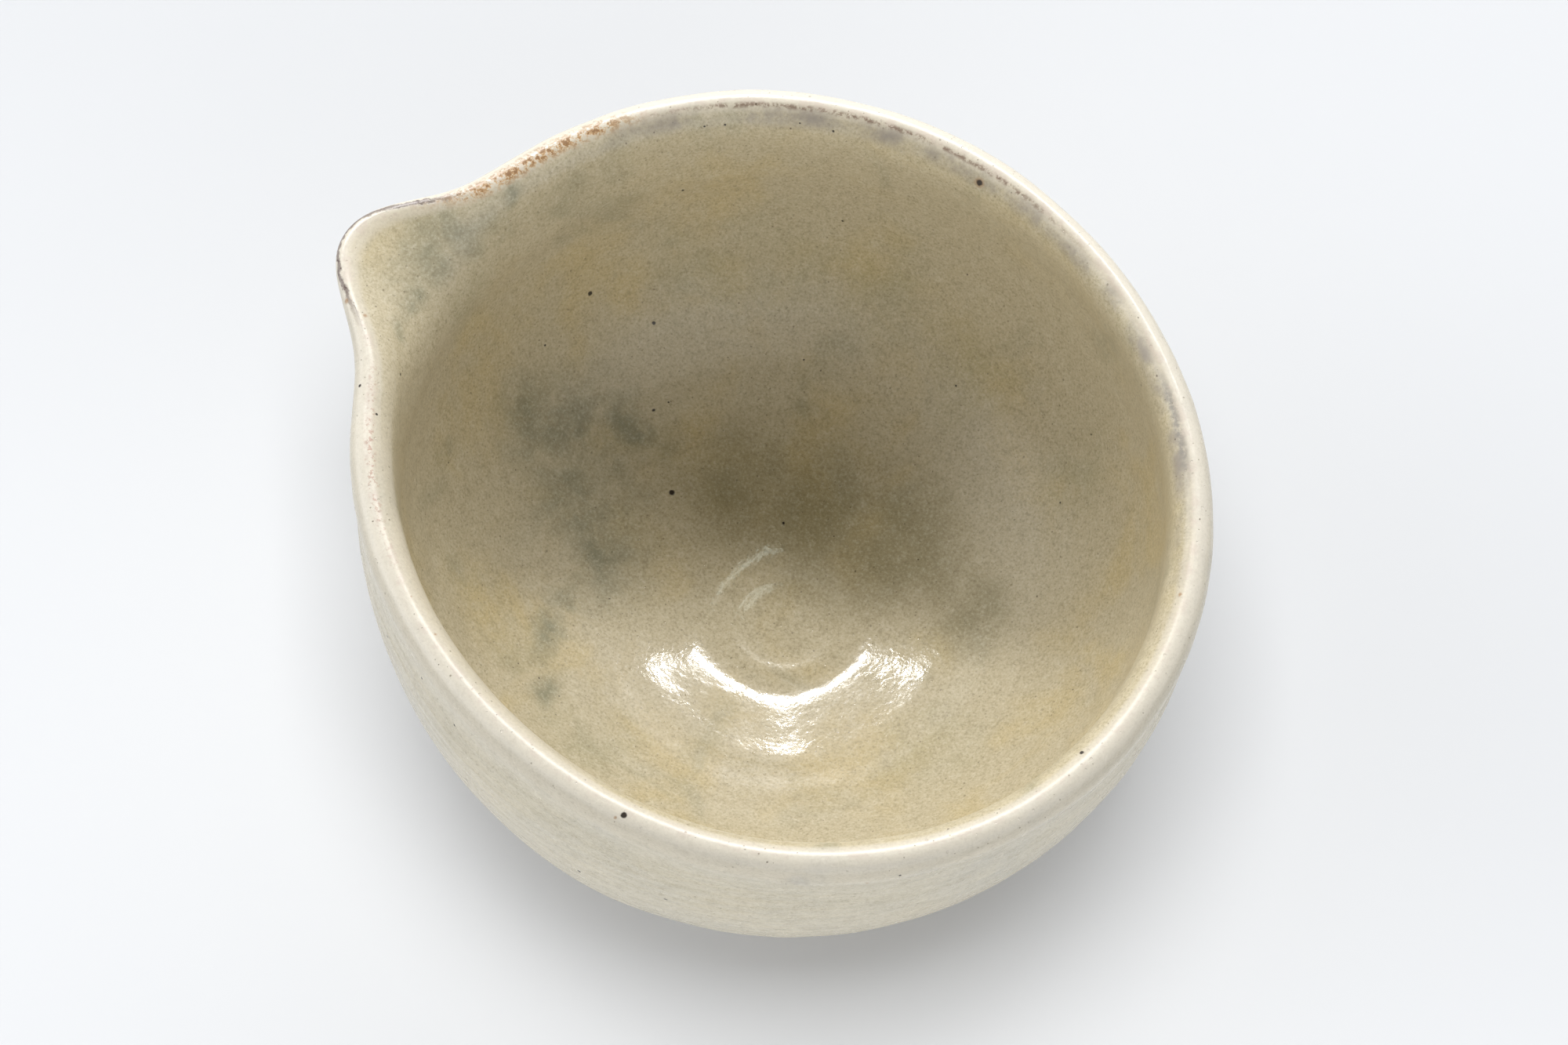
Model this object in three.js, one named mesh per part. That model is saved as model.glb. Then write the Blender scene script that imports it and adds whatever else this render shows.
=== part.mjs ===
// A hand-thrown stoneware bowl with a pouring spout pulled out of its rim.
// Three bodies: the fired clay with its turned foot ring, the glassy coat poured over the inside,
// and the glassy coat over the outside, which stops above the bare foot.
// Millimetres, +Z up. The foot stands on z = 0, the spout points along -X, and the origin is
// under the middle of the whole bowl.
import * as THREE from "three";

// ---- Driving dimensions -------------------------------------------------------------------
const GLAZE = 0.7; // thickness of a coat
const GLAZE_EDGE = 0.3; // thickness where the outer coat stops

const RIM_R = 57.3; // mean radius of the ridge along the top of the rim
const RIM_Z = 65.8; // height of the clay under that ridge
const LIP_OUT = 1.9; // from the ridge out to the lip's widest line, in the clay
const LIP_IN = 2.6; // from the ridge in to the lip's inner edge
const LIP_DROP = 2.8; // depth of both below the ridge
const LIP_LEAN = 0.9; // how far the curves that run into the lip start inside its edge
const LIP_SQUARE = 0.1; // how far the corner of the lip's outer edge stands out
const LIP_CROWN = 0.5; // how far the bevel inside the ridge starts below it
const LIP_HANDLE_OUT = 4; // length of the lip's curve, outside
const LIP_HANDLE_IN = 3; // and inside

const BELLY_R = 58.6; // outer radius at the widest level
const BELLY_Z = 51.9; // height of that level
const BELLY_TURN = THREE.MathUtils.degToRad(26); // the belly is round down to here
const BELLY_HANDLE = 5; // length of the straight run above the widest level
const LOWER_HANDLE = 13; // how long the belly keeps its direction on its way to the foot
const SPREAD_R = 9; // the foot flares into the belly over this radius
const SPREAD_Z = 3; // and this height
const HOLLOW_R = 54.3; // inner radius at the same level
const HOLLOW_FLOOR = 13.8; // height of the clay at the bottom of the well
const HOLLOW_FULLNESS = 0.61; // handle length of the inner curve; 0.552 would be an ellipse

const FOOT_R = 26; // outer radius of the foot ring on the table
const FOOT_TOP_R = 27.3; // and where it meets the belly
const FOOT_TOP_Z = 9;
const FOOT_RING = 5.2; // width of the ring
const FOOT_BEVEL = 0.8; // worn edge on both sides of the ring
const RECESS = 7; // depth of the hollow inside the ring
const RECESS_TAPER = 1.4; // its wall leans in by this much
const RECESS_FILLET = 2; // rounding where that wall meets the underside
const BARE_ROWS = 1; // rows of the lower curve left without glaze

const OVAL = 0.051; // the rim is out of round by this share of its radius
const OVAL_ANGLE = THREE.MathUtils.degToRad(156.6); // direction of its long axis
const OVAL_BELOW = 0.38; // share of that oval still there in the belly
const WAVER = 0.005; // three-sided waver of the rim
const WAVER_ANGLE = THREE.MathUtils.degToRad(83.6);

const SPOUT_ANGLE = Math.PI; // along -X
const SPOUT_REACH = 11.1; // how far the ridge is pulled out
const SPOUT_HALF_ANGLE = THREE.MathUtils.degToRad(10.1);
const SPOUT_ROUND = 2.12; // exponent of the bulge; 2 would be a bell curve
const SPOUT_TUCK = 1.6; // the lip's outside tucks in under the spout's edge
const SPOUT_TUCK_DEPTH = 0.8; // depth over which it does so
const CHANNEL_DEPTH = 4.3; // depth at which the channel's floor is pulled out 1/e as far
const CHANNEL_ROUND = 1.3; // exponent of that fall; 1 would be a sharp lip
const SWEEP_DEPTH = 9.5; // the same two for the outside of the spout
const SWEEP_ROUND = 2;

const COLUMNS = 60;
const CROWD = 0.55; // how strongly the columns crowd together at the spout
const FOOT_STEPS = [1, 2, 1, 1, 1, 1, 1]; // rows for each curve of the three profiles below
const OUTSIDE_STEPS = [6, 4, 4, 4];
const INSIDE_STEPS = [3, 4, 10];

// ---- Profile of the clay, as rows of points in the (radius, height) plane ------------------

// Outside, from the foot up to the ridge.
function outsidePath() {
  const lipR = RIM_R + LIP_OUT;
  const lipZ = RIM_Z - LIP_DROP;
  const turnR = BELLY_R * Math.cos(BELLY_TURN);
  const turnZ = BELLY_Z - BELLY_R * Math.sin(BELLY_TURN);
  const path = new THREE.Path();
  path.moveTo(FOOT_TOP_R, FOOT_TOP_Z);
  path.bezierCurveTo(
    FOOT_TOP_R + SPREAD_R, FOOT_TOP_Z + SPREAD_Z,
    turnR - LOWER_HANDLE * Math.sin(BELLY_TURN), turnZ - LOWER_HANDLE * Math.cos(BELLY_TURN),
    turnR, turnZ,
  );
  path.absarc(0, BELLY_Z, BELLY_R, -BELLY_TURN, 0, false);
  path.bezierCurveTo(
    BELLY_R, BELLY_Z + BELLY_HANDLE,
    lipR - LIP_LEAN, lipZ - LIP_HANDLE_OUT,
    lipR, lipZ,
  );
  path.quadraticCurveTo(lipR + LIP_SQUARE, RIM_Z - LIP_SQUARE, RIM_R, RIM_Z);
  return path;
}

// Inside, from the ridge down to the middle of the well.
function insidePath() {
  const edgeR = RIM_R - LIP_IN;
  const edgeZ = RIM_Z - LIP_DROP;
  const rise = BELLY_Z - HOLLOW_FLOOR;
  const path = new THREE.Path();
  path.moveTo(RIM_R, RIM_Z);
  path.quadraticCurveTo(edgeR + LIP_LEAN, RIM_Z - LIP_CROWN, edgeR, edgeZ);
  path.bezierCurveTo(
    edgeR - LIP_CROWN, edgeZ - LIP_HANDLE_IN,
    HOLLOW_R, BELLY_Z + BELLY_HANDLE,
    HOLLOW_R, BELLY_Z,
  );
  path.bezierCurveTo(
    HOLLOW_R, BELLY_Z - rise * HOLLOW_FULLNESS,
    HOLLOW_R * HOLLOW_FULLNESS, HOLLOW_FLOOR,
    0, HOLLOW_FLOOR,
  );
  return path;
}

// The foot ring and the hollow inside it, from the axis out to the foot's top.
function footPath() {
  const ringIn = FOOT_R - FOOT_RING;
  const wallR = ringIn - RECESS_TAPER;
  const path = new THREE.Path();
  path.moveTo(0, RECESS);
  path.lineTo(wallR - RECESS_FILLET, RECESS);
  path.quadraticCurveTo(wallR, RECESS, wallR, RECESS - RECESS_FILLET);
  path.lineTo(ringIn, FOOT_BEVEL);
  path.lineTo(ringIn + FOOT_BEVEL, 0);
  path.lineTo(FOOT_R - FOOT_BEVEL, 0);
  path.lineTo(FOOT_R, FOOT_BEVEL);
  path.lineTo(FOOT_TOP_R, FOOT_TOP_Z);
  return path;
}

// Points of a path, each with the normal that points out of the clay, to the right of the path.
function rowsOf(path, divisions, side) {
  const points = path.curves.flatMap((curve, i) =>
    curve.getPoints(curve.isLineCurve ? 1 : divisions[i]).slice(i ? 1 : 0),
  );
  return points.map((p, i) => {
    const before = points[Math.max(i - 1, 0)];
    const after = points[Math.min(i + 1, points.length - 1)];
    const way = after.clone().sub(before).normalize();
    return { r: p.x, z: p.y, nr: way.y, nz: -way.x, side };
  });
}

const footRows = rowsOf(footPath(), FOOT_STEPS, 1).slice(0, -1);
const outsideRows = rowsOf(outsidePath(), OUTSIDE_STEPS, 1);
const insideRows = rowsOf(insidePath(), INSIDE_STEPS, -1);

// The crest row belongs to both sides, and its normal points straight up, as it does in the well.
insideRows[0] = outsideRows.at(-1);
for (const row of [insideRows[0], insideRows.at(-1)]) Object.assign(row, { nr: 0, nz: 1 });

const clayRows = [...footRows, ...outsideRows, ...insideRows.slice(1)];
clayRows.forEach((row, order) => Object.assign(row, { order }));

// ---- Out of round --------------------------------------------------------------------------

// How far the wheel-thrown circle is pushed out of round at an angle, as a share of the radius.
function outOfRound(angle) {
  return OVAL * Math.cos(2 * (angle - OVAL_ANGLE)) + WAVER * Math.cos(3 * (angle - WAVER_ANGLE));
}

// The share of it at a height: nothing at the foot, some in the belly, all at the rim.
function outOfRoundShare(z) {
  const below = THREE.MathUtils.smoothstep(z, FOOT_TOP_Z, BELLY_Z);
  const above = THREE.MathUtils.smoothstep(z, BELLY_Z, RIM_Z);
  return OVAL_BELOW * below + (1 - OVAL_BELOW) * above;
}

// The spout's bulge at an angle, from 0 to 1.
function spoutAt(angle) {
  const off = Math.atan2(Math.sin(angle - SPOUT_ANGLE), Math.cos(angle - SPOUT_ANGLE));
  return Math.exp(-((Math.abs(off) / SPOUT_HALF_ANGLE) ** SPOUT_ROUND));
}

// How far a row is pulled out in the middle of the spout. The channel's floor rises steeply to the
// edge, and the outside sweeps up to it from lower down.
function spoutPull({ z, side }) {
  const depth = Math.max(RIM_Z - z, 0);
  if (side < 0) return SPOUT_REACH * Math.exp(-((depth / CHANNEL_DEPTH) ** CHANNEL_ROUND));
  const tuck = SPOUT_TUCK * (1 - Math.exp(-depth / SPOUT_TUCK_DEPTH));
  return (SPOUT_REACH - tuck) * Math.exp(-((depth / SWEEP_DEPTH) ** SWEEP_ROUND));
}

// ---- Meshes --------------------------------------------------------------------------------

// Column i's angle: even steps, drawn together towards the spout.
function columnAngle(i) {
  const t = ((i % COLUMNS) / COLUMNS) * 2 * Math.PI;
  return t + CROWD * Math.sin(t);
}

// Spins a profile, then moves each vertex to its place on the out-of-round bowl.
// A profile entry is a row and the height of the point above the clay there.
function spin(profile) {
  const outline = profile.map(({ row, lift }) =>
    new THREE.Vector2(row.r + lift * row.nr, row.z + lift * row.nz),
  );
  const geometry = new THREE.LatheGeometry(outline, COLUMNS);
  const position = geometry.getAttribute("position");
  for (let i = 0; i <= COLUMNS; i++) {
    const angle = columnAngle(i);
    profile.forEach(({ row }, j) => {
      const round = outline[j].x * (1 + outOfRoundShare(row.z) * outOfRound(angle));
      const radius = outline[j].x && round + spoutPull(row) * spoutAt(angle);
      position.setXYZ(
        i * profile.length + j,
        radius * Math.cos(angle), radius * Math.sin(angle), outline[j].y,
      );
    });
  }
  geometry.setIndex(facesOf(profile));
  geometry.computeVertexNormals();
  return geometry;
}

// Two triangles for each quad of the spun grid. The cut across a quad always runs from its earlier
// row to its later one, so the clay and a coat, whose profiles run opposite ways, share their faces.
function facesOf(profile) {
  const rows = profile.length;
  const faces = [];
  for (let i = 0; i < COLUMNS; i++) {
    for (let j = 0; j < rows - 1; j++) {
      const [a, b, c, d] = [i * rows + j, (i + 1) * rows + j, (i + 1) * rows + j + 1, i * rows + j + 1];
      const rising = profile[j].row.order < profile[j + 1].row.order;
      faces.push(...(rising ? [a, b, c, a, c, d] : [a, b, d, b, c, d]));
    }
  }
  return faces;
}

const onClay = (row) => ({ row, lift: 0 });
const onGlaze = (row) => ({ row, lift: GLAZE });

function clayProfile() {
  return clayRows.map(onClay);
}

function innerGlazeProfile() {
  return [...[...insideRows].reverse().map(onClay), ...insideRows.map(onGlaze)];
}

// The outer coat thins to its edge on its lowest row.
function outerGlazeProfile() {
  const rows = outsideRows.slice(BARE_ROWS);
  const skin = rows.map(onGlaze);
  skin[0].lift = GLAZE_EDGE;
  const profile = [...skin, ...[...rows].reverse().map(onClay)];
  return [...profile, profile[0]];
}

function piece(name, profile, color, roughness) {
  const material = new THREE.MeshStandardMaterial({ color, roughness, metalness: 0 });
  const mesh = new THREE.Mesh(spin(profile), material);
  mesh.name = name;
  return mesh;
}

const bowl = new THREE.Group();
bowl.add(
  piece("clay_body", clayProfile(), 0xb59b7c, 0.85),
  piece("inner_glaze", innerGlazeProfile(), 0xa59a78, 0.2),
  piece("outer_glaze", outerGlazeProfile(), 0xd2cab4, 0.3),
);

// The origin goes under the middle of the whole bowl, spout included.
const middle = new THREE.Box3().setFromObject(bowl).getCenter(new THREE.Vector3());
bowl.position.set(-middle.x, -middle.y, 0);

export default bowl;
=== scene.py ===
"""A hand-thrown stoneware bowl with a pouring spout pulled out of its rim.

Three pieces stand for the three bodies of the frame: the fired clay with its turned foot ring, the
olive glaze inside and the cream glaze outside. Shapes are worked out in millimetres round the axis
of the foot, then moved into the frame, which is in metres with +Z up and the spout along -X.
"""
import itertools
import math

import bpy
import numpy as np
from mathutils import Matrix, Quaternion, Vector


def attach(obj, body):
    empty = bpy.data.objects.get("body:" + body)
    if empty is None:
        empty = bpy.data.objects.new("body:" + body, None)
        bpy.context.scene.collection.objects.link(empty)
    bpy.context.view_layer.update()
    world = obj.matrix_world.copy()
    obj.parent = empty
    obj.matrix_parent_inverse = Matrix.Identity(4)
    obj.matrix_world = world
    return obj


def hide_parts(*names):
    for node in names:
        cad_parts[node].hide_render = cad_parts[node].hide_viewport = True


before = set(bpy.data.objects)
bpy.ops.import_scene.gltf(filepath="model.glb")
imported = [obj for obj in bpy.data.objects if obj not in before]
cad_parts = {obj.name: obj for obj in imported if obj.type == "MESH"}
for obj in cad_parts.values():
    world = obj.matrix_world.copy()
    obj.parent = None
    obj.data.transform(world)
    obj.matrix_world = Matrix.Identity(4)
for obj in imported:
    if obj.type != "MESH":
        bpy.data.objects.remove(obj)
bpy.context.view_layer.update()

# ---- Driving dimensions, in millimetres ---------------------------------------------------------
MM = 0.001
AXIS = np.array([4.909, -0.061, 0.0])  # the foot's middle, measured from the middle of the bowl's box

GLAZE = 0.7
RIM_R, RIM_Z = 57.3, 65.8
LIP_OUT, LIP_IN, LIP_DROP = 1.9, 2.6, 2.8
LIP_LEAN, LIP_SQUARE, LIP_CROWN = 0.9, 0.1, 0.5
LIP_HANDLE_OUT, LIP_HANDLE_IN = 4, 3

BELLY_R, BELLY_Z, BELLY_TURN, BELLY_HANDLE = 58.6, 51.9, math.radians(26), 5
LOWER_HANDLE, SPREAD_R, SPREAD_Z = 13, 9, 3
HOLLOW_R, HOLLOW_FLOOR, HOLLOW_FULLNESS = 54.3, 13.8, 0.61
FOOT_R, FOOT_TOP_R, FOOT_TOP_Z, FOOT_RING, FOOT_BEVEL = 26, 27.3, 9, 5.2, 0.8
RECESS, RECESS_TAPER, RECESS_FILLET = 7, 1.4, 2

OVAL, OVAL_ANGLE, OVAL_BELOW = 0.051, math.radians(156.6), 0.38
WAVER, WAVER_ANGLE = 0.005, math.radians(83.6)
SPOUT_REACH, SPOUT_HALF_ANGLE, SPOUT_ROUND = 11.1, math.radians(10.1), 2.12
SPOUT_TUCK, SPOUT_TUCK_DEPTH = 1.6, 0.8
CHANNEL_DEPTH, CHANNEL_ROUND = 4.3, 1.3
SWEEP_DEPTH, SWEEP_ROUND = 9.5, 2
PULL_FADE = 20  # radius below which the spout's pull dies away towards the axis

# Unevenness of the surfaces: heights, radii and widths.
LUMPS = [(0.16, 17), (0.07, 6.5), (0.025, 2.6)]  # height and size of each
RING_HEIGHT, RING_PITCH = 0.03, 7.5
WELL_SWELL, WELL_DEPTH, WELL_R, WELL_SLOPE, WELL_ROUND = 0.25, 0.72, 10.9, 5.8, 1.7
WELL_RING, WELL_RING_R, WELL_RING_WIDTH = 0.13, 7.6, 1.4
BUTTON_HEIGHT, BUTTON_R = 0.10, 3.2
DIMPLE_TURN, DIMPLE_BELOW = 122.6, 3.2  # a fingertip's print outside the lip: degrees, and millimetres
DIMPLE_DEPTH, DIMPLE_R = 0.22, 1.3
DIMPLE_EDGE, DIMPLE_EDGE_R, DIMPLE_EDGE_WIDTH = 0.06, 2.0, 0.7

# The outer glaze's lower end: where it stops, above the foot, and the bead that it ends in.
GLAZE_LINE, GLAZE_THINNEST = 6.2, 0.02
BEAD_ROLL, BEAD_HEIGHT, BEAD_ABOVE, BEAD_WIDTH = 1.6, 0.28, 1.9, 1.1
BARE_BAND = 9.5  # how far the clay is modelled finely above the foot

COLUMNS = 400
CROWD = 0.35  # how strongly the columns crowd together at the spout

HASH_FACTORS = (73856093, 19349663, 83492791)  # for a lattice point's x, y and z
HASH_SEED_FACTOR = 974711
HASH_ROUNDS = ((13, 1274126177), (11, 69069))  # the shift and the factor of each
HASH_SPAN = 2**31 - 1
LATTICE_SHIFT = 500  # keeps the lattice's numbers above zero


# ---- Curves and noise ---------------------------------------------------------------------------
def smoothstep(x, low, high):
    """0 below low, 1 above high, and 3t^2 - 2t^3 between them."""
    t = np.clip((x - low) / (high - low), 0, 1)
    return t * t * (3 - 2 * t)


def bell(x, middle, width):
    """A bell curve: 1 at the middle, 1/e at one width from it."""
    return np.exp(-(((x - middle) / width) ** 2))


def bezier(corners, count=400):
    """Points of a Bezier curve: its corners, each weighted by its Bernstein polynomial."""
    t = np.linspace(0, 1, count)[:, None]
    k = len(corners) - 1
    weights = [math.comb(k, i) * t**i * (1 - t) ** (k - i) for i in range(k + 1)]
    return sum(weight * np.array(corner, float) for weight, corner in zip(weights, corners))


def joined(curves):
    """The curves one after another, each without its first point, which the one before it ends on."""
    return np.concatenate([curves[0], *[c[1:] for c in curves[1:]]])


def noise(p, size, seed):
    """Smooth noise from -1 to 1: hashed values on a lattice of that size, blended by 3t^2 - 2t^3. The
    hash is the exclusive or of the lattice point's numbers and the seed, each times its factor, put
    through rounds of (h xor h shifted right) * factor mod span."""
    q = p / size + LATTICE_SHIFT
    cell = np.floor(q).astype(np.int64)
    f = q - cell
    f = f * f * (3 - 2 * f)
    total = np.zeros(p.shape[:-1])
    for corner in itertools.product((0, 1), repeat=3):
        mixed = np.full(p.shape[:-1], seed * HASH_SEED_FACTOR)
        for axis, factor in enumerate(HASH_FACTORS):
            mixed = mixed ^ ((cell[..., axis] + corner[axis]) * factor)
        for shift, factor in HASH_ROUNDS:
            mixed = (mixed ^ (mixed >> shift)) * factor % HASH_SPAN
        weight = np.prod(np.where(np.array(corner) == 1, f, 1 - f), axis=-1)
        total += weight * (mixed / (HASH_SPAN / 2) - 1)
    return total


class Line:
    """A profile in the (radius, height) plane, by the distance s along it: r, z and the normal (nr, nz),
    which points to the right of the way. The corners are eased by a running mean of bell weights."""

    STEP = 0.05

    def __init__(self, points, ease=0.55):
        gaps = np.r_[0, np.cumsum(np.hypot(*np.diff(points, axis=0).T))]
        s = np.arange(0, gaps[-1], self.STEP)
        even = np.stack([np.interp(s, gaps, points[:, k]) for k in (0, 1)], 1)
        reach = int(3 * ease / self.STEP)
        weights = bell(np.arange(-reach, reach + 1) * self.STEP, 0, ease * math.sqrt(2))
        weights /= weights.sum()
        padded = np.pad(even, ((reach, reach), (0, 0)), mode="reflect", reflect_type="odd")
        eased = np.stack([np.convolve(padded[:, k], weights, "valid") for k in (0, 1)], 1)
        way = np.gradient(eased, axis=0)
        way /= np.linalg.norm(way, axis=1)[:, None]
        self.s, self.r, self.z, self.nr, self.nz = s, eased[:, 0], eased[:, 1], way[:, 1], -way[:, 0]
        self.length = s[-1]

    def at(self, s):
        """r, z, nr and nz at each distance in an array of any shape."""
        return [np.interp(s, self.s, values) for values in (self.r, self.z, self.nr, self.nz)]


def outside_points():
    """Clay outside: a flare out of the foot, a round belly, and the lip up to the crest."""
    lip_r, lip_z = RIM_R + LIP_OUT, RIM_Z - LIP_DROP
    turn_r, turn_z = BELLY_R * math.cos(BELLY_TURN), BELLY_Z - BELLY_R * math.sin(BELLY_TURN)
    handle_r, handle_z = LOWER_HANDLE * math.sin(BELLY_TURN), LOWER_HANDLE * math.cos(BELLY_TURN)
    angle = np.linspace(-BELLY_TURN, 0, 400)
    belly = np.stack([BELLY_R * np.cos(angle), BELLY_Z + BELLY_R * np.sin(angle)], 1)
    flare = [(FOOT_TOP_R, FOOT_TOP_Z), (FOOT_TOP_R + SPREAD_R, FOOT_TOP_Z + SPREAD_Z)]
    return joined([
        bezier([*flare, (turn_r - handle_r, turn_z - handle_z), (turn_r, turn_z)]),
        belly,
        bezier([(BELLY_R, BELLY_Z), (BELLY_R, BELLY_Z + BELLY_HANDLE),
                (lip_r - LIP_LEAN, lip_z - LIP_HANDLE_OUT), (lip_r, lip_z)]),
        bezier([(lip_r, lip_z), (lip_r + LIP_SQUARE, RIM_Z - LIP_SQUARE), (RIM_R, RIM_Z)]),
    ])


def inside_points():
    """Clay inside: the bevel below the crest, the wall, and the curve down to the middle of the well."""
    edge_r, edge_z = RIM_R - LIP_IN, RIM_Z - LIP_DROP
    rise = BELLY_Z - HOLLOW_FLOOR
    return joined([
        bezier([(RIM_R, RIM_Z), (edge_r + LIP_LEAN, RIM_Z - LIP_CROWN), (edge_r, edge_z)]),
        bezier([(edge_r, edge_z), (edge_r - LIP_CROWN, edge_z - LIP_HANDLE_IN),
                (HOLLOW_R, BELLY_Z + BELLY_HANDLE), (HOLLOW_R, BELLY_Z)]),
        bezier([(HOLLOW_R, BELLY_Z), (HOLLOW_R, BELLY_Z - rise * HOLLOW_FULLNESS),
                (HOLLOW_R * HOLLOW_FULLNESS, HOLLOW_FLOOR), (0, HOLLOW_FLOOR)]),
    ])


def foot_points():
    """Clay underneath, from the axis out: the hollow in the foot, the ring's wall, its face and its side."""
    ring = FOOT_R - FOOT_RING
    wall = ring - RECESS_TAPER
    return joined([
        bezier([(0, RECESS), (wall - RECESS_FILLET, RECESS)]),
        bezier([(wall - RECESS_FILLET, RECESS), (wall, RECESS), (wall, RECESS - RECESS_FILLET)]),
        bezier([(wall, RECESS - RECESS_FILLET), (ring, FOOT_BEVEL)]),
        bezier([(ring, FOOT_BEVEL), (ring + FOOT_BEVEL, 0)]),
        bezier([(ring + FOOT_BEVEL, 0), (FOOT_R - FOOT_BEVEL, 0)]),
        bezier([(FOOT_R - FOOT_BEVEL, 0), (FOOT_R, FOOT_BEVEL)]),
        bezier([(FOOT_R, FOOT_BEVEL), (FOOT_TOP_R, FOOT_TOP_Z)]),
    ])


def length_of(points):
    """Length of the line through the points."""
    return np.hypot(*np.diff(points, axis=0).T).sum()


wall_line = Line(joined([outside_points(), inside_points()]), ease=0.8)
CREST = length_of(outside_points())  # distance along wall_line where the outside ends
foot_line = Line(joined([foot_points(), outside_points()]), ease=0.22)
FOOT_END = length_of(foot_points())  # distance along foot_line where the foot meets the belly


# ---- The bowl's surface -------------------------------------------------------------------------
def out_of_round(angle):
    """Share by which the thrown circle is out of round: an oval and a small three-sided waver."""
    return OVAL * np.cos(2 * (angle - OVAL_ANGLE)) + WAVER * np.cos(3 * (angle - WAVER_ANGLE))


def out_of_round_share(z):
    """Share of it at a height: none at the foot, some in the belly, all of it at the rim."""
    return OVAL_BELOW * smoothstep(z, FOOT_TOP_Z, BELLY_Z) + (1 - OVAL_BELOW) * smoothstep(z, BELLY_Z, RIM_Z)


def spout_at(angle):
    """The spout's bulge: exp(-(|off| / half angle)^round), off being the turn from -X."""
    off = np.arctan2(-np.sin(angle), -np.cos(angle))
    return np.exp(-((np.abs(off) / SPOUT_HALF_ANGLE) ** SPOUT_ROUND))


def spout_pull(z, inside):
    """How far a level is pulled out at the spout: it falls off with depth, faster inside than outside."""
    depth = np.maximum(RIM_Z - z, 0)
    channel = SPOUT_REACH * np.exp(-((depth / CHANNEL_DEPTH) ** CHANNEL_ROUND))
    tuck = SPOUT_TUCK * (1 - np.exp(-depth / SPOUT_TUCK_DEPTH))
    sweep = (SPOUT_REACH - tuck) * np.exp(-((depth / SWEEP_DEPTH) ** SWEEP_ROUND))
    return np.where(inside, channel, sweep)


def column_angles():
    """Even steps round the bowl, drawn together towards the spout."""
    t = np.arange(COLUMNS) / COLUMNS * 2 * math.pi
    return t + CROWD * np.sin(t)


def wall_surface(s, angle, lift):
    """The point at distance s along the wall's line, at an angle, lifted off the clay along the line's
    normal; the radius is then made out of round and pulled out at the spout."""
    r, z, nr, nz = wall_line.at(s)
    radius = (r + lift * nr) * (1 + out_of_round_share(z) * out_of_round(angle))
    radius = radius + spout_pull(z, s > CREST) * spout_at(angle) * smoothstep(r, 0, PULL_FADE)
    return np.stack([radius * np.cos(angle), radius * np.sin(angle), z + lift * nz], -1)


def foot_surface(s, angle, lift):
    """The same for the foot's line, which is round at the foot and out of round above it."""
    r, z, nr, nz = foot_line.at(s)
    radius = (r + lift * nr) * (1 + out_of_round_share(z) * out_of_round(angle))
    return np.stack([radius * np.cos(angle), radius * np.sin(angle), z + lift * nz], -1)


def on_wall(turn, below, inside=True):
    """The point of the glaze at a turn from the spout, in degrees, and a distance below the crest."""
    angle = np.array([math.pi + math.radians(turn)])
    s = np.array([CREST + below if inside else CREST - below])
    return wall_surface(s, angle, GLAZE)[0]


def lumps(p):
    """The unevenness that fingers leave, the same on both coats so that they meet along the crest, and
    a quarter as strong in the well as on the wall."""
    calm = 0.25 + 0.75 * smoothstep(np.hypot(p[..., 0], p[..., 1]), 20, 38)
    return calm * sum(height * noise(p, size, seed) for seed, (height, size) in enumerate(LUMPS, 1))


def inner_relief(p, s, angle):
    """Height of the inner glaze over its smooth line. Finger rings on the wall climb one pitch a turn.
    The well swells up a little, then sinks by exp(-(distance past its radius / slope)^round) to a flat
    bottom, which has a low ring in it, fine pits, and a button in the middle."""
    r = np.hypot(p[..., 0], p[..., 1])
    below = s - CREST
    turns = below / RING_PITCH + angle / (2 * math.pi)
    wall = smoothstep(below, 5, 14) * smoothstep(r, 16, 26)
    rings = RING_HEIGHT * np.sin(2 * math.pi * turns) * (1 + 0.9 * noise(p, 20, 5)) * wall
    wavy_r = r + 0.35 * noise(p, 9, 6)
    step = np.exp(-((np.maximum(wavy_r - WELL_R, 0) / WELL_SLOPE) ** WELL_ROUND))
    well = WELL_SWELL * (1 - smoothstep(r, 24, 50)) - WELL_DEPTH * step
    well = well + WELL_RING * bell(wavy_r, WELL_RING_R, WELL_RING_WIDTH)
    pits = 0.012 * noise(p, 0.8, 31) * (1 - smoothstep(r, 14, 26)) * (0.5 + 0.5 * noise(p, 4, 32))
    button = BUTTON_HEIGHT * bell(r, 0, BUTTON_R)
    return rings + well + pits + button


def outer_relief(p, s):
    """Height of the outer glaze over its smooth line: shallow bands from the throwing rib, in two
    spacings, and one soft dimple below the lip with a raised edge."""
    below = CREST - s
    bands = 0.05 * np.sin(p[..., 2] * 2.3 + 0.8 * noise(p, 15, 7)) * (0.6 + 0.6 * noise(p, 24, 8))
    bands = bands + 0.03 * np.sin(p[..., 2] * 4.9 + 1.1 * noise(p, 11, 9))
    away = np.linalg.norm(p - on_wall(DIMPLE_TURN, DIMPLE_BELOW, False), axis=-1)
    dimple = DIMPLE_DEPTH * bell(away, 0, DIMPLE_R)
    edge = DIMPLE_EDGE * bell(away, DIMPLE_EDGE_R, DIMPLE_EDGE_WIDTH)
    return bands * smoothstep(below, 4, 12) - dimple + edge


def displaced(points, height):
    """Moves the points of a grid of rings (rows, columns) along the grid's own normals by their heights."""
    ring = np.concatenate([points[:, -1:], points, points[:, :1]], axis=1)
    along = np.gradient(points, axis=0)
    around = (ring[:, 2:] - ring[:, :-2]) / 2
    normal = np.cross(around, along)
    size = np.linalg.norm(normal, axis=-1, keepdims=True)
    normal = np.divide(normal, size, out=np.zeros_like(normal), where=size > 1e-9)
    return points + normal * height[..., None]


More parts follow.
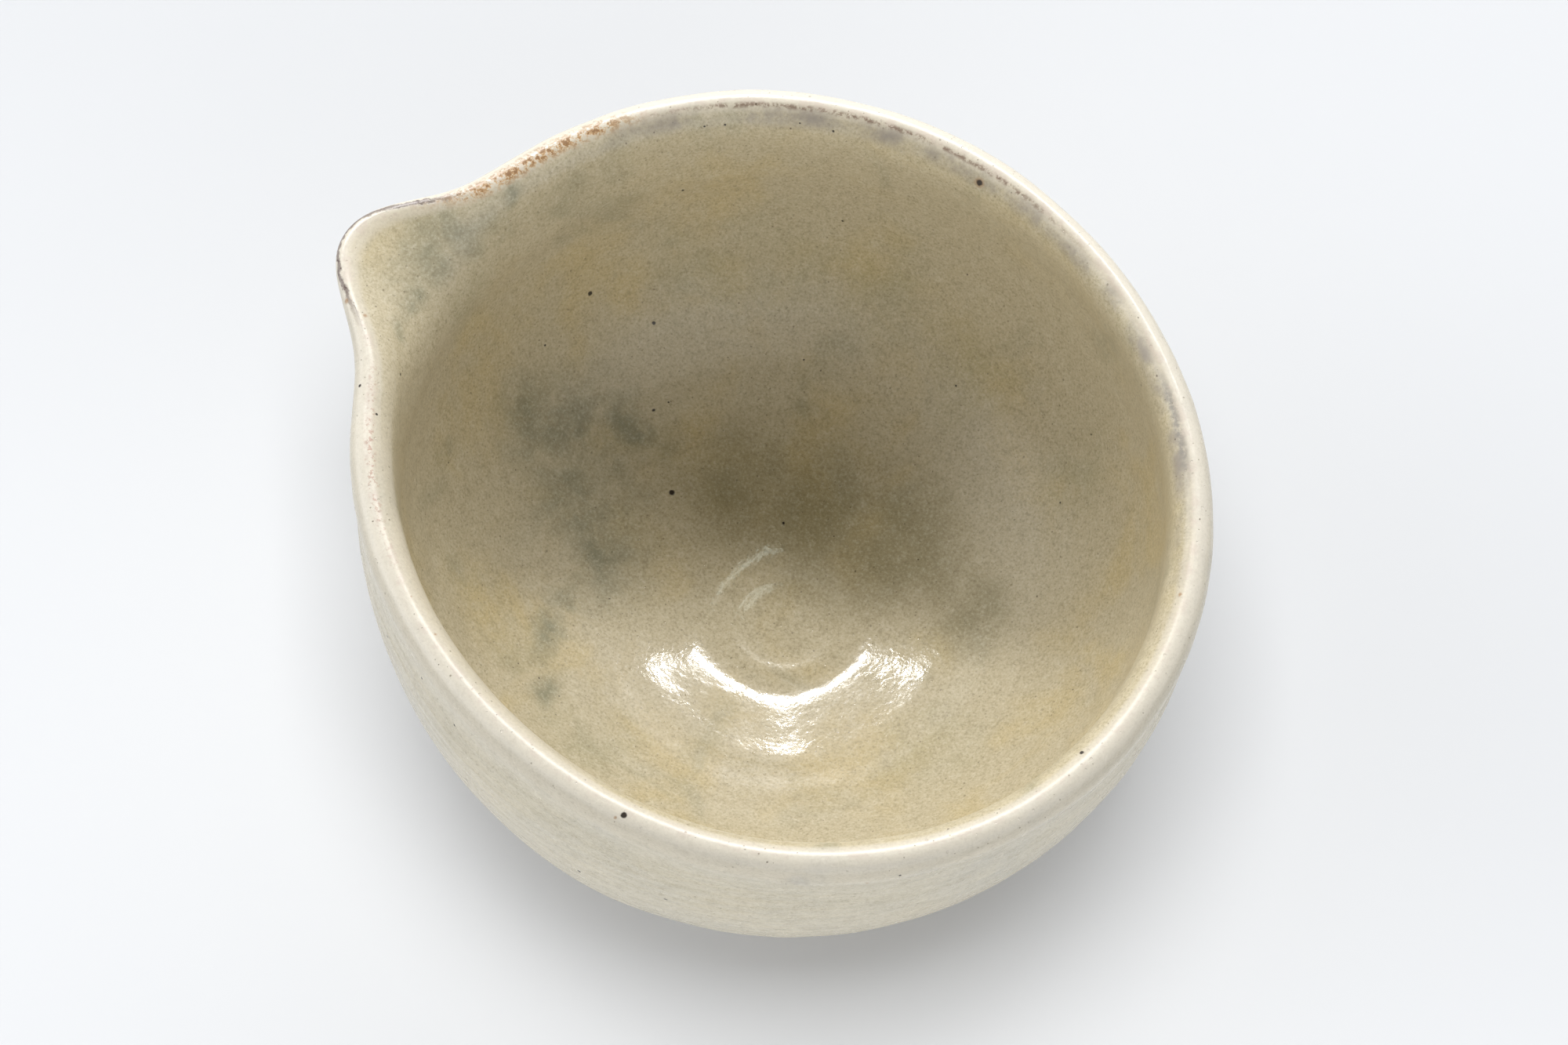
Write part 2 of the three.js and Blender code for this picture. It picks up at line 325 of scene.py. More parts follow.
def stations(marks, steps):
    """Distances from the first mark to the last, with a step given at each mark and blended between."""
    found = [marks[0]]
    way = 1 if marks[-1] > marks[0] else -1
    order = np.argsort(marks)
    while (marks[-1] - found[-1]) * way > 0:
        found.append(found[-1] + way * np.interp(found[-1], np.array(marks)[order], np.array(steps)[order]))
    found = np.array(found)
    return marks[0] + (found - marks[0]) * (marks[-1] - marks[0]) / (found[-1] - marks[0])


def ring_mesh(name, rows, closed=False, poles=(False, False), **facts):
    """A mesh from a grid of rows of points round the axis, in millimetres from the foot's middle.

    Each row joins the next in a ring of quads. A pole row is one point, the row's mean, which a fan
    of triangles closes. If closed, the last row joins the first. facts are values, one per point of
    the grid, kept as attributes of the mesh."""
    count, columns = rows.shape[:2]
    points, kept = [], {k: [] for k in facts}
    index = np.zeros((count, columns), int)
    total = 0
    for j in range(count):
        pole = (j == 0 and poles[0]) or (j == count - 1 and poles[1])
        size = 1 if pole else columns
        points.append(rows[j].mean(axis=0, keepdims=True) if pole else rows[j])
        index[j] = total if pole else np.arange(total, total + columns)
        for k, values in facts.items():
            kept[k].append(values[j][:size])
        total += size
    following = np.roll(index, -1, axis=1)
    upper = np.roll(index, -1, axis=0)
    upper_following = np.roll(following, -1, axis=0)
    quads = np.stack([index, following, upper_following, upper], -1)
    quads = (quads if closed else quads[:-1]).reshape(-1, 4)
    corners = [tuple(dict.fromkeys(q)) for q in quads.tolist()]
    mesh = bpy.data.meshes.new(name)
    world = (np.concatenate(points) + AXIS) * MM
    mesh.from_pydata(world.tolist(), [], corners)
    for k, values in kept.items():
        mesh.attributes.new(k, "FLOAT", "POINT").data.foreach_set("value", np.concatenate(values))
    mesh.shade_smooth()
    mesh.set_sharp_from_angle(angle=math.radians(50))
    mesh.update()
    piece = bpy.data.objects.new(name, mesh)
    bpy.context.scene.collection.objects.link(piece)
    return piece


def grid(s):
    """Every distance with every column's angle."""
    return np.broadcast_arrays(s[:, None], column_angles()[None, :])


def inner_coat():
    """The inner glaze: its skin from the crest to the middle of the well, its back from that middle up
    to the crest along the clay, and the skin's distances from the crest."""
    marks = [CREST, CREST + 1.5, CREST + 6, CREST + 12, wall_line.length - 22, wall_line.length]
    s, angle = grid(stations(marks, [0.07, 0.18, 0.32, 0.48, 0.42, 0.3]))
    smooth = wall_surface(s, angle, GLAZE)
    skin = displaced(smooth, lumps(smooth) + inner_relief(smooth, s, angle))
    back = wall_surface(*grid(np.linspace(wall_line.length, CREST, 12)), 0)
    return skin, back, s - CREST


def glaze_line(angle):
    """Where the outer glaze stops: a wavering line a little above the foot, by the distance s."""
    wave = 1.1 * np.sin(2 * angle + 0.7) + 0.7 * np.sin(5 * angle + 2.1) + 0.45 * np.sin(9 * angle + 4.4)
    return GLAZE_LINE + wave


def outer_coat():
    """The outer glaze: its skin from the glaze line up to the crest, its back down to the line again
    along the clay, and the skin's distances from the crest. At the line the glaze rolls over in a
    quarter circle and swells to a bead."""
    shares, angle = grid(stations([0, 0.05, 0.8, 0.95, 1], [0.003, 0.006, 0.0075, 0.0035, 0.0012]))
    start = glaze_line(angle)
    s = start + (CREST - start) * shares
    rise = s - start
    rolled = GLAZE * np.sqrt(1 - (1 - np.clip(rise / BEAD_ROLL, 0, 1)) ** 2)
    thick = rolled + BEAD_HEIGHT * bell(rise, BEAD_ABOVE, BEAD_WIDTH)
    smooth = wall_surface(s, angle, np.maximum(thick, GLAZE_THINNEST))
    height = lumps(smooth) + outer_relief(smooth, s)
    skin = displaced(smooth, height * smoothstep(rise, 0, 3))
    back_shares, back_angle = grid(np.linspace(1, 0, 14))
    back_start = glaze_line(back_angle)
    back = wall_surface(back_start + (CREST - back_start) * back_shares, back_angle, 0)
    return skin, back, s - CREST


def clay_relief(p, s):
    """Height of the bare clay over its line: turning grooves, grit, and a spiral round the middle."""
    r = np.hypot(p[..., 0], p[..., 1])
    grooves = 0.05 * np.sin(s * 5.2 + 1.5 * noise(p, 12, 21)) + 0.03 * np.sin(s * 11.7)
    grit = 0.05 * noise(p, 0.9, 22) + 0.08 * noise(p, 3, 23)
    winding = 2 * math.pi * (r / 3.1) - np.arctan2(p[..., 1], p[..., 0])
    spiral = 0.14 * np.sin(winding) * (1 - smoothstep(r, 9, 16)) * smoothstep(r, 0.5, 3)
    return grooves + grit + spiral


def clay():
    """The clay, from pole to pole: the hollow under the foot, the foot ring and the bare band, then
    under both glazes up to the crest and down into the well."""
    bare = FOOT_END + BARE_BAND
    s, angle = grid(stations([0, 15, FOOT_END, bare], [0.5, 0.4, 0.32, 0.5]))
    smooth = foot_surface(s, angle, 0)
    z = smooth[..., 2]
    fades = smoothstep(bare - s, 0, 3)
    shown = displaced(smooth, clay_relief(smooth, s) * fades * smoothstep(z, 0.02, 0.6))
    up = np.linspace(bare - FOOT_END, CREST, 16)[1:]
    down = np.linspace(CREST, wall_line.length, 16)[1:]
    hidden = wall_surface(*grid(np.r_[up, down]), 0)
    return np.concatenate([shown, hidden])


def ring_shell(name, skin, back, lip):
    """A closed shell from a skin and a back that meet at both ends. lip is the skin's distances from
    the crest, and the back is given 0."""
    rows = np.concatenate([skin, back])
    values = np.concatenate([lip, np.zeros(back.shape[:2])])
    return ring_mesh(name, rows, closed=True, lip=values)


def pole_shell(name, skin, back, lip):
    """A closed shell whose back runs from a pole up to the crest, and whose skin runs on from there to
    a pole of its own."""
    rows = np.concatenate([back, skin])
    values = np.concatenate([np.zeros(back.shape[:2]), lip])
    return ring_mesh(name, rows, poles=(True, True), lip=values)


# ---- Materials ----------------------------------------------------------------------------------
class Value:
    """An output socket of a node. Arithmetic on it adds Math nodes."""

    def __init__(self, nodes, socket):
        self.nodes, self.socket = nodes, socket

    def math(self, operation, *others):
        return self.nodes.node("ShaderNodeMath", {"operation": operation}, dict(enumerate((self, *others))))

    def __add__(self, other):
        return self.math("ADD", other)

    def __sub__(self, other):
        return self.math("SUBTRACT", other)

    def __mul__(self, other):
        return self.math("MULTIPLY", other)

    def __truediv__(self, other):
        return self.math("DIVIDE", other)

    def __rsub__(self, other):
        return self.nodes.node("ShaderNodeMath", {"operation": "SUBTRACT"}, {0: other, 1: self})

    def __abs__(self):
        return self.math("ABSOLUTE")

    def least(self, other):
        return self.math("MINIMUM", other)

    def most(self, other):
        return self.math("MAXIMUM", other)

    def rise(self, low, high, to=(0, 1)):
        """0 at low to 1 at high, or to[0] to to[1], with eased ends; low may be the larger."""
        return self.nodes.node("ShaderNodeMapRange", {"interpolation_type": "SMOOTHSTEP"},
                               {0: self, 1: low, 2: high, 3: to[0], 4: to[1]})

    def near(self, middle, width):
        """1 at the middle, falling to 0 at a width on either side."""
        return abs(self - middle).rise(width, 0)


class Nodes:
    """The nodes of a material or of the world. node() is the one method that adds them."""

    def __init__(self, owner):
        owner.use_nodes = True
        self.tree = owner.node_tree
        self.tree.nodes.clear()

    def node(self, kind, settings=None, inputs=None, output=0):
        """Adds a node: its settings are set first, then the values or links of its inputs. Returns one
        of its outputs, if it has any."""
        node = self.tree.nodes.new(kind)
        for key, value in (settings or {}).items():
            setattr(node, key, value)
        for key, value in (inputs or {}).items():
            if isinstance(value, Value):
                self.tree.links.new(value.socket, node.inputs[key])
            else:
                node.inputs[key].default_value = value
        return Value(self, node.outputs[output]) if len(node.outputs) else None


class Finish(Nodes):
    """A material, and the patterns that its colours and heights are made from."""

    def __init__(self, name):
        self.material = bpy.data.materials.new(name)
        super().__init__(self.material)
        self.place = self.node("ShaderNodeTexCoord", output="Object")

    def mix(self, factor, a, b):
        """Colour a where the factor is 0 and b where it is 1."""
        a, b = [c if isinstance(c, Value) else (*c, 1) for c in (a, b)]
        return self.node("ShaderNodeMix", {"data_type": "RGBA"}, {0: factor, 6: a, 7: b}, 2)

    def clouds(self, size, detail=2, place=None, rough=0.5, warp=0.0):
        """Noise from 0 to 1 whose features are a size in millimetres."""
        return self.node("ShaderNodeTexNoise", {"noise_dimensions": "3D"},
                         {"Vector": place or self.place, "Scale": 1 / (size * MM), "Detail": detail,
                          "Roughness": rough, "Distortion": warp})

    def grains(self, size, share, least, most, place=None):
        """Specks: in a share of the cells of a size, a round speck between two radii, in millimetres.
        1 inside a speck and 0 outside. A cell's red draws whether it has one, and its green how wide."""
        settings = {"voronoi_dimensions": "3D", "feature": "F1"}
        inputs = {"Vector": place or self.place, "Scale": 1 / (size * MM), "Randomness": 1.0}
        distance = self.node("ShaderNodeTexVoronoi", settings, inputs, "Distance")
        drawn = self.node("ShaderNodeTexVoronoi", settings, inputs, "Color")
        chance = self.node("ShaderNodeSeparateColor", {}, {0: drawn}, 0)
        width = self.node("ShaderNodeSeparateColor", {}, {0: drawn}, 1)
        radius = width * ((most - least) / size) + least / size
        inside = (distance / radius).rise(1.15, 0.7)
        return inside * chance.rise(share, share - 0.02)

    def ragged(self, amount, size):
        """The object's coordinates, pushed about by noise of a size, in millimetres."""
        inputs = {"Vector": self.place, "Scale": 1 / (size * MM), "Detail": 2}
        drawn = self.node("ShaderNodeTexNoise", {}, inputs, "Color")
        push = self.node("ShaderNodeVectorMath", {"operation": "SUBTRACT"}, {0: drawn, 1: (0.5, 0.5, 0.5)})
        push = self.node("ShaderNodeVectorMath", {"operation": "SCALE"}, {0: push, "Scale": 2 * amount * MM})
        return self.node("ShaderNodeVectorMath", {"operation": "ADD"}, {0: self.place, 1: push})

    def patch(self, point, radius, place, core=0.0):
        """1 at a point and within its core, a share of the radius, falling to 0 at the radius, both in
        millimetres round the foot's middle."""
        world = tuple(((np.array(point) + AXIS) * MM).tolist())
        away = self.node("ShaderNodeVectorMath", {"operation": "DISTANCE"}, {0: place, 1: world}, "Value")
        return away.rise(radius * MM, radius * core * MM)

    def marks(self, marks, inside, place, core=0.0):
        """The strongest of several patches, each a turn from the spout, a distance below the crest and
        a radius."""
        total = None
        for turn, below, radius in marks:
            one = self.patch(on_wall(turn, below, inside), radius, place, core)
            total = total.most(one) if total else one
        return total

    def turn(self):
        """Turn from the spout, from -180 to 180 degrees."""
        x = self.node("ShaderNodeSeparateXYZ", {}, {0: self.place}, 0)
        y = self.node("ShaderNodeSeparateXYZ", {}, {0: self.place}, 1)
        return (AXIS[1] * MM - y).math("ARCTAN2", AXIS[0] * MM - x) * math.degrees(1)

    def surface(self, colour, roughness, height, **constants):
        """The shader: a base colour, a roughness and a bump of a height in millimetres."""
        bump = {"Height": height, "Distance": MM, "Strength": 1.0}
        normal = self.node("ShaderNodeBump", {}, bump, "Normal")
        shader = self.node("ShaderNodeBsdfPrincipled", {},
                           {"Base Color": colour, "Roughness": roughness, "Normal": normal, **constants})
        self.node("ShaderNodeOutputMaterial", {}, {"Surface": shader})
        return self.material


# Colours, as shares of the light that they give back.
INSIDE_CREAM, INSIDE_OCHRE, INSIDE_GREY = (0.485, 0.42, 0.285), (0.505, 0.41, 0.225), (0.25, 0.24, 0.16)
OUTSIDE_CREAM, OUTSIDE_OCHRE, OUTSIDE_GREY = (0.52, 0.47, 0.355), (0.54, 0.48, 0.35), (0.43, 0.41, 0.35)
# The first colour of this line is painted shadow: the dark that the far rim casts low across the far side of
# the well.
PAINTED_RIM_SHADOW, FAINT = (0.30, 0.26, 0.15), (0.32, 0.30, 0.185)
DIMPLE_GREY, STREAK_GREY = (0.30, 0.29, 0.26), (0.36, 0.335, 0.25)
MOTTLE_DARK, MOTTLE_PALE = (0.27, 0.225, 0.13), (0.70, 0.65, 0.52)
GRAIN_DARK, GRAIN_PALE = (0.21, 0.175, 0.10), (0.70, 0.645, 0.51)
# The second colour of this line is a painted highlight: the whiter crest where the lamps catch the round of
# the lip.
LIP_PALE, CREST_PAINTED_HIGHLIGHT, LIP_THIN = (0.60, 0.55, 0.465), (0.72, 0.675, 0.60), (0.50, 0.40, 0.34)
# The first colour of this line is painted shade: the grey just below the crest.
LIP_PAINTED_SHADE, LIP_PINK, LIP_BROWN = (0.27, 0.235, 0.195), (0.36, 0.20, 0.14), (0.17, 0.11, 0.075)
SPOUT_STREAK, SPOUT_RUST = (0.20, 0.185, 0.165), (0.46, 0.27, 0.10)
SPOUT_BURNT, SPOUT_EDGE = (0.17, 0.08, 0.035), (0.09, 0.055, 0.048)
SPECK, FLECK = (0.15, 0.12, 0.07), (0.09, 0.065, 0.04)
RUST, IRON = (0.30, 0.15, 0.05), (0.022, 0.015, 0.01)
CLAY_PALE, CLAY_DARK = (0.42, 0.27, 0.155), (0.30, 0.175, 0.09)
CLAY_SANDY, CLAY_GRIT = (0.52, 0.38, 0.25), (0.12, 0.075, 0.045)

# Iron spots: turn from the spout in degrees, distance below the crest and radius in millimetres. Then
# the rusty marks, the soft drifts of colour in the glaze, and the painted shadow of the far rim, in the same
# way.
SPOTS_INSIDE = [
    (-91, 2.4, 0.62), (-20, 63, 0.60), (-26, 30, 0.45), (-35, 39, 0.40), (-15, 33, 0.26), (-44, 16, 0.26),
    (-69, 24, 0.20), (-91, 26, 0.20), (-97, 44, 0.22), (-64, 48, 0.18), (-28, 51, 0.32), (-32, 51, 0.22),
    (13, 31, 0.20), (56, 52, 0.26), (57, 37, 0.18), (92, 58, 0.28), (70, 58, 0.24), (-90, 81, 0.24),
    (-60, 73, 0.24), (-131, 43, 0.24), (-105, 52, 0.20), (-133, 6, 0.30), (-125, 32, 0.20), (14, 5, 0.28),
    (-48, 3, 0.22), (-51, 3, 0.24), (-62, 2.6, 0.22), (-67, 3, 0.22), (23, 1.0, 0.26), (163, 1.2, 0.42),
]
SPOTS_OUTSIDE = [
    (42, 12, 0.36), (52, 12, 0.36), (72, 22, 0.40), (70, 8, 0.28), (62, 7, 0.28), (92, 24, 0.30),
    (105, 20, 0.36), (110, 18, 0.24), (135, 3, 0.26), (121, 4.5, 0.22), (99, 0.6, 0.50), (19, 1.2, 0.30),
    (-30, 21, 0.34), (-75, 14, 0.30), (-120, 26, 0.42), (-152, 9, 0.28), (160, 30, 0.36), (-8, 26, 0.30),
]
RUST_INSIDE = [(-170, 0.8, 0.45), (60, 0.8, 0.35), (53, 0.5, 0.28), (-91, 2.4, 1.1), (9, 0.9, 0.5)]
RUST_OUTSIDE = [(131, 4, 0.42), (8, 1.0, 0.6), (98, 1.2, 0.34), (-100, 9, 0.34)]
OCHRE_INSIDE = [(-33, 56, 9), (-97, 37, 12), (-48, 18, 12), (-75, 30, 9), (35, 40, 12), (150, 62, 14),
                (-30, 30, 9)]
GREY_INSIDE = [(-8, 45, 14), (2, 54, 13), (10, 60, 11), (-22, 52, 9), (26, 57, 6), (40, 54, 6), (54, 49, 6),
               (-16, 3, 4), (-10, 3, 5), (-4, 4, 6), (2, 4, 5), (7, 3, 4)]
FAINT_INSIDE = [(-45, 33, 13), (-62, 32, 14), (-80, 34, 14), (-98, 38, 13), (-128, 40, 11), (165, 58, 12),
                (-5, 12, 10), (70, 50, 12)]
# Painted shadow: patches that darken the wall low on the far side of the well, where the far rim shades it
# from the key lamps.
PAINTED_RIM_SHADOW_INSIDE = [(-75, 72, 16), (-40, 66, 13), (-115, 68, 14), (-150, 62, 10)]
GREY_OUTSIDE = [(60, 22, 14), (-60, 25, 16), (150, 18, 13), (-150, 34, 15), (105, 38, 16), (-142, 1.5, 3)]


def lip_marks(f, colour, lip, turn, inside):
    """The marks along the rim, laid over a colour: paler and pinker, with a painted highlight along the
    crest, painted grey shade just below it, and thin on the crest itself, brown and rusty to one side of the
    spout and dark along the spout's edge. Returns the colour, and where the painted shade, the rust and the
    edge are."""
    patchy = f.clouds(2.2, 4, rough=0.65)
    wide = turn.near(55, 50).least(0.5) * 2
    pale = (lip.rise(1.8, 0.9) + lip.rise(4.6, 3.2) * wide).least(1) * lip.rise(-5.5, -1.5)
    colour = f.mix(pale * 0.5, colour, LIP_PALE)
    # Painted highlight: the crest made whiter and brighter where the lamps catch it.
    crest_highlight = abs(lip + 0.55).rise(1.3, 0.5)
    colour = f.mix(crest_highlight * 0.32, colour, CREST_PAINTED_HIGHLIGHT)
    along = f.clouds(6, 4, rough=0.6)
    # Painted shade: a patchy grey band just below the crest, strongest inside on the far side, where the
    # bevel faces away from the key lamps.
    shade_below_crest = (lip - 1.8).near(0, 2.2) * along.rise(0.36, 0.68)
    shade_below_crest = shade_below_crest * (turn.near(-100, 88).least(0.3) * 3.3)
    colour = f.mix(shade_below_crest * (0.95 if inside else 0.2), colour, LIP_PAINTED_SHADE)
    thin = abs(lip - 0.2).rise(0.9, 0.2) * patchy.rise(0.46, 0.60)
    colour = f.mix(thin * 0.35, colour, LIP_THIN)
    toasted = f.clouds(0.9, 5, rough=0.72)
    pitted = f.clouds(0.5, 3, rough=0.6).rise(0.53, 0.60)
    pink = abs(lip - 0.3).rise(0.9, 0.1) * turn.near(30, 26) * pitted
    colour = f.mix(pink * 0.7, colour, LIP_PINK)
    brown = (lip - 0.9 + patchy * 0.4).near(0, 0.5) * turn.near(-75, 45).least(0.5) * 2
    brown = brown * toasted.rise(0.45, 0.58)
    colour = f.mix(brown * 0.85, colour, LIP_BROWN)
    streak = (lip - 1.0).near(0, 1.1) * turn.near(-143, 12).least(0.6) * 1.6
    streak = streak * toasted.rise(0.30, 0.60)
    colour = f.mix(streak * 0.8, colour, SPOUT_STREAK)
    rusty = (lip - 0.2).near(0, 1.5) * turn.near(-24, 19).least(0.5) * 2
    rusty = rusty * toasted.rise(0.42, 0.54)
    colour = f.mix(rusty.least(0.92), colour, SPOUT_RUST)
    colour = f.mix(rusty * toasted.rise(0.50, 0.58) * 0.8, colour, SPOUT_BURNT)
    bend = turn.near(1, 12) * 1.1 + (patchy - 0.5) * 1.6 + (toasted - 0.5) * 0.8
    edge = abs(lip + bend).rise(0.55, 0.16) * turn.near(-1, 14).least(0.4) * 2.5
    colour = f.mix(edge * pitted.most(0.8) * 0.95, colour, SPOUT_EDGE)
    return colour, shade_below_crest, rusty, edge


def glaze(name, inside):
    """A satin glaze over stoneware: cream to olive clouds, grey drifts, fine specks and iron spots, and
    the marks of the rim, with a painted highlight along the crest. Inside, a painted shadow of the far rim
    darkens the far side of the well, and the glaze is glossier in the well than on the wall."""
    f = Finish(name)
    ragged = f.ragged(0.16, 0.7)
    drifting = f.ragged(9, 11)
    # Distance along the glaze from the crest: above 0 inside the bowl, below 0 outside.
    lip = f.node("ShaderNodeAttribute", {"attribute_type": "GEOMETRY", "attribute_name": "lip"}, output="Fac")
    turn = f.turn()

    cream, ochre, grey = OUTSIDE_CREAM, OUTSIDE_OCHRE, OUTSIDE_GREY
    if inside:
        cream, ochre, grey = INSIDE_CREAM, INSIDE_OCHRE, INSIDE_GREY
    broken = f.clouds(5, 5, rough=0.62).rise(0.30, 0.62, to=(0.25, 1))
    low = abs(lip).rise(6, 22, to=(0.35, 0.85))
    colour = f.mix(f.clouds(14, 4, warp=0.5).rise(0.46, 0.72) * low, cream, ochre)
    colour = f.mix(f.clouds(17, 5, warp=0.9).rise(0.54, 0.78) * 0.55, colour, grey)
    if inside:
        # Painted shadow of the far rim, low on the far side of the well.
        colour = f.mix(f.marks(PAINTED_RIM_SHADOW_INSIDE, True, drifting) * 0.8, colour, PAINTED_RIM_SHADOW)
        colour = f.mix(f.marks(OCHRE_INSIDE, True, drifting) * broken * 0.9, colour, ochre)
        colour = f.mix(f.marks(FAINT_INSIDE, True, drifting) * broken * 0.42, colour, FAINT)
        colour = f.mix(f.marks(GREY_INSIDE, True, drifting) * broken, colour, grey)
    else:
        colour = f.mix(f.marks(GREY_OUTSIDE, False, drifting) * broken * 0.7, colour, grey)
        dimple = f.patch(on_wall(DIMPLE_TURN, DIMPLE_BELOW, False), 2.2, ragged, 0.3)
        colour = f.mix(dimple * 0.6, colour, DIMPLE_GREY)
        streaks = f.node("ShaderNodeMapping", {}, {"Vector": f.place, "Scale": (1, 1, 9)})
        streaked = f.clouds(7, 5, streaks, 0.65).rise(0.46, 0.66)
        colour = f.mix(streaked * 0.34, colour, STREAK_GREY)
    mottle = f.clouds(1.6, 6, rough=0.75)
    colour = f.mix(mottle.rise(0.50, 0.70) * 0.34, colour, MOTTLE_DARK)
    colour = f.mix(mottle.rise(0.50, 0.30) * 0.22, colour, MOTTLE_PALE)

    grained = f.node("ShaderNodeMapping", {}, {"Vector": f.place, "Scale": (1, 1, 1 if inside else 2.2)})
    grain = f.clouds(0.42, 4, grained, 0.7)
    colour = f.mix(grain.rise(0.50, 0.66) * 0.42, colour, GRAIN_DARK)
    colour = f.mix(grain.rise(0.49, 0.34) * 0.28, colour, GRAIN_PALE)

    colour, shade_below_crest, rusty, edge = lip_marks(f, colour, lip, turn, inside)
    specks = f.grains(1.05, 0.5, 0.06, 0.16, ragged)
    colour = f.mix(specks * 0.6, colour, SPECK)
    flecks = f.grains(3.2, 0.45, 0.07, 0.19, ragged)
    colour = f.mix(flecks * 0.8, colour, FLECK)
    spots = f.marks(SPOTS_INSIDE if inside else SPOTS_OUTSIDE, inside, ragged, 0.55)
    rust = f.marks(RUST_INSIDE if inside else RUST_OUTSIDE, inside, ragged, 0.2)
    colour = f.mix(rust * 0.7, colour, RUST)
    colour = f.mix(spots * 0.97, colour, IRON)

    ripple = f.clouds(2.6, 2) * 0.025 + f.clouds(1.0, 2) * 0.016 + f.clouds(0.5, 1) * 0.004
    pinholes = f.grains(1.1, 0.45, 0.08, 0.2)
    height = ripple - pinholes * 0.06 - spots * 0.02 - edge * 0.06 - rusty * 0.03
    if not inside:
        height = height + streaked * 0.015
    smooth = f.patch((0, 0, HOLLOW_FLOOR), 36, f.place, 0.62) if inside else 0.3
    roughness = 0.34 - f.clouds(6, 3).rise(0.3, 0.7, to=(0.21, 0.25)) * smooth
    roughness = roughness + specks * 0.08 + shade_below_crest * 0.1
    return f.surface(colour, roughness, height, IOR=1.5)


def fired_clay():
    """Bare stoneware toasted to a warm brown: blotches, dark grit and pores."""
    f = Finish("fired_clay")
    colour = f.mix(f.clouds(9, 3).rise(0.35, 0.7), CLAY_PALE, CLAY_DARK)
    colour = f.mix(f.clouds(1.1, 3).rise(0.4, 0.75) * 0.5, colour, CLAY_SANDY)
    grit = f.grains(1.4, 0.5, 0.08, 0.25, f.ragged(0.2, 0.8))
    colour = f.mix(grit * 0.8, colour, CLAY_GRIT)
    pores = f.grains(0.9, 0.4, 0.05, 0.14)
    height = f.clouds(0.6, 4, rough=0.7) * 0.12 - pores * 0.12 + grit * 0.05
    return f.surface(colour, f.clouds(2, 2).rise(0.2, 0.8, to=(0.72, 0.92)), height)


# ---- Camera, floor and light --------------------------------------------------------------------
# The view: its angles in degrees, its distance, shift and lens in millimetres.
VIEW_AZIMUTH, VIEW_ELEVATION, VIEW_DISTANCE = 30.6, 63, 632.5
VIEW_DOWN, VIEW_RIGHT, LENS = 8.51, 0.21, 106.3


def direction(azimuth, elevation):
    """The unit vector towards an azimuth, 0 being -Y and 90 being +X, and an elevation."""
    a, e = math.radians(azimuth), math.radians(elevation)
    return Vector((math.sin(a) * math.cos(e), -math.cos(a) * math.cos(e), math.sin(e)))


def rim_middle():
    """The middle of the mouth, in metres."""
    return Vector((AXIS + [0, 0, RIM_Z + GLAZE]) * MM)


def camera():
    """Looks down into the bowl; the middle of the mouth is a little above the middle of the view."""
    back = direction(VIEW_AZIMUTH, VIEW_ELEVATION)
    turn = (-back).to_track_quat("-Z", "Y")
    shift = turn @ Vector((VIEW_RIGHT, -VIEW_DOWN, 0))
    data = bpy.data.cameras.new("camera")
    data.lens, data.sensor_width, data.clip_start, data.clip_end = LENS, 36, 0.01, 50
    view = bpy.data.objects.new("camera", data)
    view.rotation_mode = "QUATERNION"
    view.rotation_quaternion = turn
    view.location = rim_middle() + back * VIEW_DISTANCE * MM + shift * MM
    bpy.context.scene.collection.objects.link(view)
    bpy.context.scene.camera = view


def panel(name, azimuth, elevation, distance, width, height, strength, colour=(1, 1, 1), roll=0):
    """A soft rectangular light that faces the bowl. strength is what it gives a white sheet there,
    where 1 is a full white. roll turns it in its own plane, in degrees."""
    data = bpy.data.lights.new(name, "AREA")
    data.shape, data.size, data.size_y = "RECTANGLE", width, height
    data.energy = strength * math.pi**2 * distance**2
    data.color = colour
    lamp = bpy.data.objects.new(name, data)
    back = direction(azimuth, elevation)
    lamp.location = rim_middle() + back * distance
    lamp.rotation_mode = "QUATERNION"
    lamp.rotation_quaternion = (-back).to_track_quat("-Z", "Y") @ Quaternion((0, 0, 1), math.radians(roll))
    bpy.context.scene.collection.objects.link(lamp)
    return lamp


# The white room round the bowl: azimuth from the viewer's, elevation, sharpness and strength.
GLOWS = [(0, 8, 6, 2.5), (-90, 15, 6, 2.9), (45, 15, 8, 1.7), (180, 20, 6, 2.1), (135, 25, 8, 1.1)]
ROOM_WHITE = (0.975, 0.988, 1.0)
TABLE_HALF = 4.0  # metres
TABLE_DARK, TABLE_PALE = (0.68, 0.69, 0.708), (0.695, 0.705, 0.723)

# Lamps, in degrees and metres: elevation, distance, width, height and strength, as panel takes them.
KEY = (44, 1.0, 0.46, 0.09, 0.50)
STRIP = (75, 1.0, 0.07, 0.36, 0.035)
ABOVE = (84, 1.2, 0.55, 0.55, 0.70)
KEY_SPREAD, KEY_ROLL = 13, 19  # how far each key stands to its side, and how far it is tipped
STRIP_ASIDE, STRIP_GREEN = 26, (0.9, 1.0, 0.9)


def surroundings():
    """A white room as a sum of glows: each is its strength times the cosine of the angle from its
    direction, raised to its sharpness."""
    world = bpy.data.worlds.new("room")
    bpy.context.scene.world = world
    room = Nodes(world)
    towards = room.node("ShaderNodeTexCoord", output="Generated")
    total = None
    for azimuth, elevation, sharpness, strength in GLOWS:
        aim = direction(VIEW_AZIMUTH + azimuth, elevation)
        cosine = room.node("ShaderNodeVectorMath", {"operation": "DOT_PRODUCT"},
                           {0: towards, 1: aim}, "Value")
        glow = cosine.most(0).math("POWER", sharpness) * strength
        total = glow + total if total else glow
    background = room.node("ShaderNodeBackground", {}, {"Color": (*ROOM_WHITE, 1), "Strength": total})
    room.node("ShaderNodeOutputWorld", {}, {"Surface": background})


